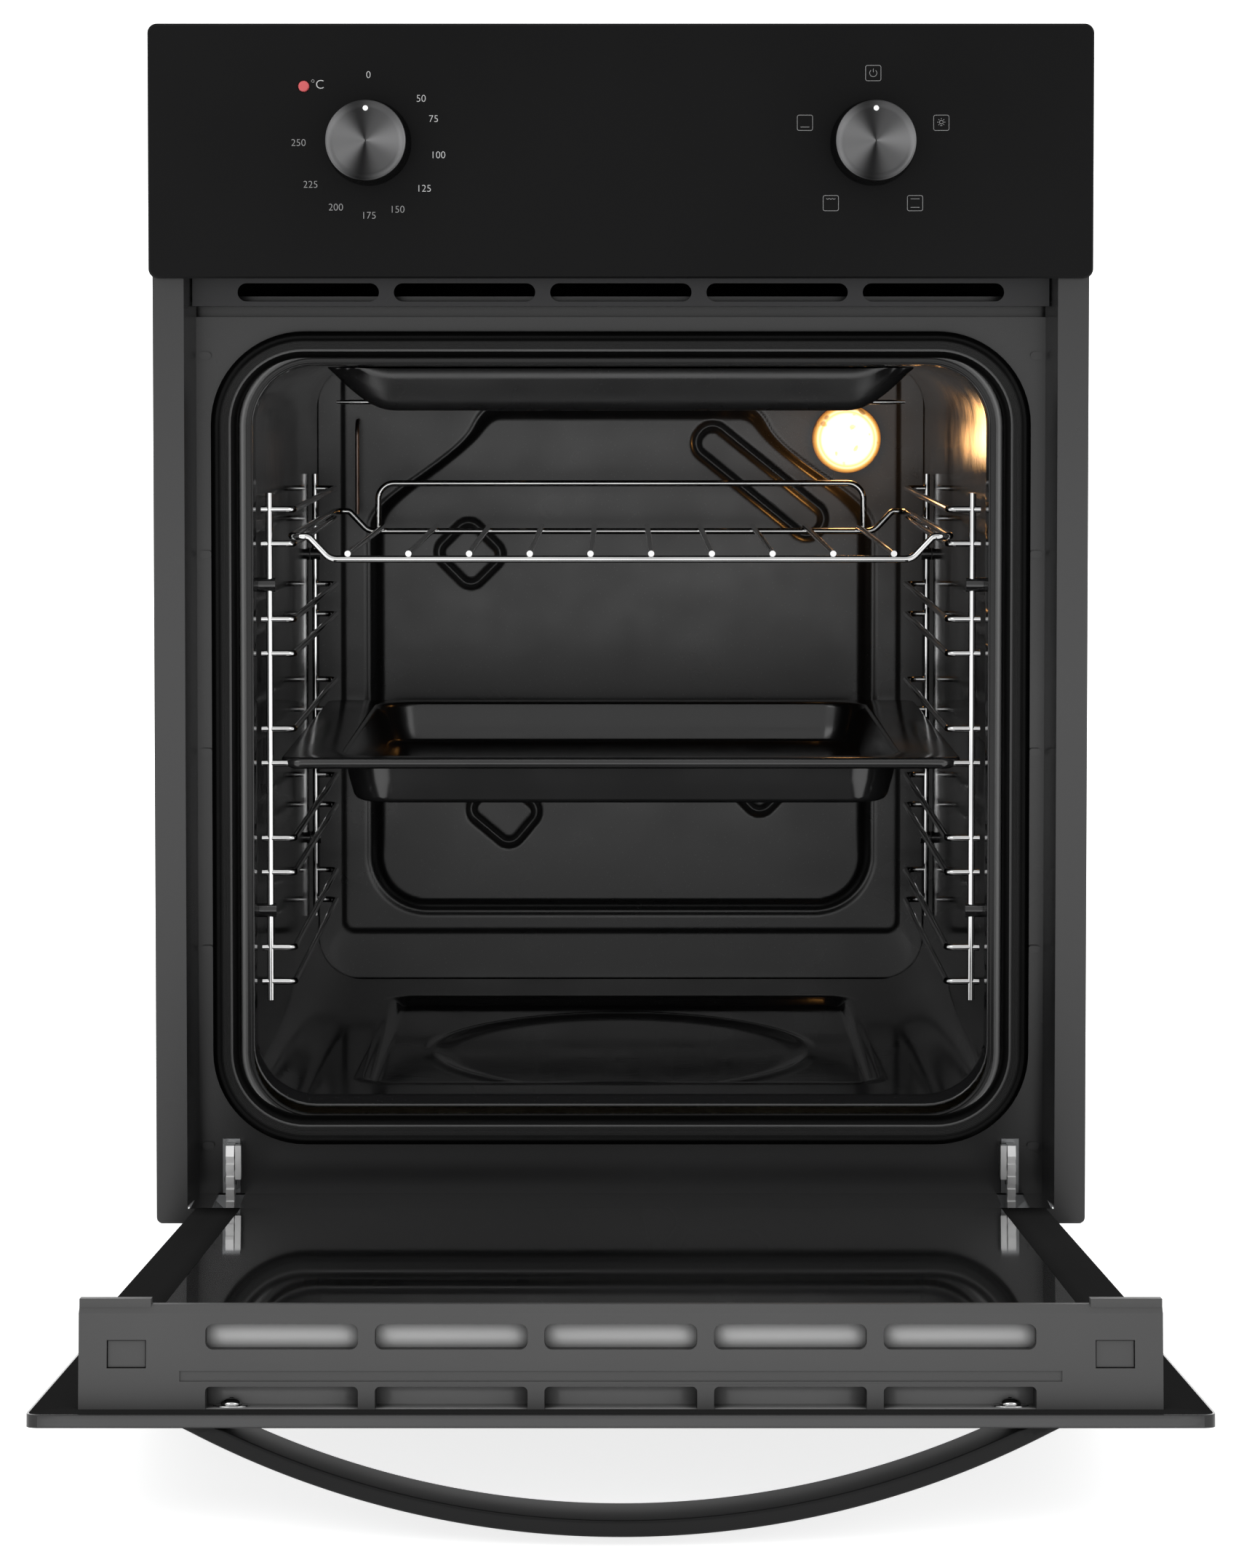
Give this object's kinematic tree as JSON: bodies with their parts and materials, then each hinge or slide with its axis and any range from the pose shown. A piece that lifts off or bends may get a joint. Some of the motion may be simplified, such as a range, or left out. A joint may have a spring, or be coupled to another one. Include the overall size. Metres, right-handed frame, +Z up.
{
  "type": "wall oven",
  "caption": "Compact built-in oven with a drop-down door, wire shelf, baking tray, two control knobs and cavity lamp.",
  "frame": {"origin": "centre of the base's underside", "axes": "+Z up, -Y towards the person in front of the oven, +X to that person's right"},
  "size_m": [0.445, 0.9998, 0.599],
  "materials": {
    "frame_steel": "satin dark enamel",
    "black_enamel": "gloss black enamel",
    "panel_glass": "satin black front",
    "galvanised": "zinc-coated sheet",
    "cavity_enamel": "speckled gloss enamel",
    "wool": "mineral wool",
    "gasket": "matt silicone",
    "element_steel": "heat-tinted sheath",
    "ceramic_white": "glazed ceramic",
    "lamp_glass": "clear",
    "switch_plastic": "moulded",
    "copper": "drawn tube",
    "red_lens": "clear red",
    "fan_metal": "pressed",
    "hinge_steel": "zinc-plated",
    "chrome": "bright chrome",
    "tray_enamel": "gloss black enamel",
    "knob_plastic": "black moulded",
    "knob_metal": "spun face",
    "door_glass": "black-backed glass",
    "clear_glass": "clear",
    "inner_glass": "dark reflective",
    "door_steel": "black",
    "trim_plastic": "grey moulded",
    "handle_metal": "satin black"
  },
  "bodies": {
    "oven": {"base_element": "element_steel", "base_plate": "galvanised", "cable_inlet": "switch_plastic", "cavity_back": "cavity_enamel", "cavity_shell": "cavity_enamel", "control_panel": "panel_glass", "door_gasket": "gasket", "fan_housing": "galvanised", "fan_motor": "galvanised", "front_frame": "frame_steel", "grill_element": "element_steel", "heater_shield": "cavity_enamel", "hinge_arms": "hinge_steel", "hinge_receivers": "galvanised", "indicator_body": "switch_plastic", "indicator_lens": "red_lens", "insulation_wrap": "wool", "lamp_bulb": "lamp_glass", "lamp_cover": "lamp_glass", "lamp_holder": "ceramic_white", "latch_pivots": "hinge_steel", "panel_tray": "galvanised", "rear_cover": "galvanised", "runner_studs": "cavity_enamel", "selector_body": "switch_plastic", "shelf_runner_left": "chrome", "shelf_runner_right": "chrome", "side_panel_left": "galvanised", "side_panel_right": "galvanised", "terminal_block": "switch_plastic", "thermostat_body": "switch_plastic", "thermostat_capillary": "copper", "top_cover": "galvanised", "vent_strip": "black_enamel"},
    "door": {"door_outer_panel": "door_glass", "door_middle_glass": "clear_glass", "door_inner_glass": "inner_glass", "door_bottom_rail": "door_steel", "door_top_trim": "trim_plastic", "door_handle": "handle_metal", "handle_screws": "hinge_steel", "handle_washers": "hinge_steel", "trim_buttons": "trim_plastic", "glass_bumpers": "gasket", "hinge_cases": "hinge_steel", "hinge_pins": "hinge_steel", "hinge_springs": "hinge_steel", "door_rail_left": "door_steel", "door_rail_right": "door_steel"},
    "thermostat_dial": {"thermostat_knob": "knob_plastic", "thermostat_cap": "knob_metal", "thermostat_shaft": "hinge_steel"},
    "selector_dial": {"selector_knob": "knob_plastic", "selector_cap": "knob_metal", "selector_shaft": "hinge_steel"},
    "rack": {"wire_rack": "chrome"},
    "tray": {"baking_tray": "tray_enamel"},
    "blower": {"fan_rotor": "fan_metal"},
    "latch_left": {"hinge_latch_left": "hinge_steel"},
    "latch_right": {"hinge_latch_right": "hinge_steel"}
  },
  "joints": [
    {"name": "door_hinge", "type": "hinge", "parent": "oven", "child": "door", "pos_m": [0, -0.288, 0.016], "axis": [1, 0, 0], "range_deg": [-85, 0]},
    {"name": "thermostat_turn", "type": "hinge", "parent": "oven", "child": "thermostat_dial", "pos_m": [-0.1186, -0.32, 0.543], "axis": [0, 1, 0], "range_deg": [0, 272]},
    {"name": "selector_turn", "type": "hinge", "parent": "oven", "child": "selector_dial", "pos_m": [0.1186, -0.32, 0.543], "axis": [0, 1, 0], "continuous": true},
    {"name": "rack_slide", "type": "slide", "parent": "oven", "child": "rack", "axis": [0, -1, 0], "range_m": [0, 0.28]},
    {"name": "tray_slide", "type": "slide", "parent": "oven", "child": "tray", "axis": [0, -1, 0], "range_m": [0, 0.28]},
    {"name": "blower_spin", "type": "hinge", "parent": "oven", "child": "blower", "pos_m": [0, 0.075, 0.525], "axis": [1, 0, 0], "continuous": true},
    {"name": "latch_left_flip", "type": "hinge", "parent": "oven", "child": "latch_left", "pos_m": [-0.19, -0.2585, 0.0475], "axis": [1, 0, 0], "range_deg": [0, 60]},
    {"name": "latch_right_flip", "type": "hinge", "parent": "oven", "child": "latch_right", "pos_m": [0.19, -0.2585, 0.0475], "axis": [1, 0, 0], "range_deg": [0, 60]}
  ]
}
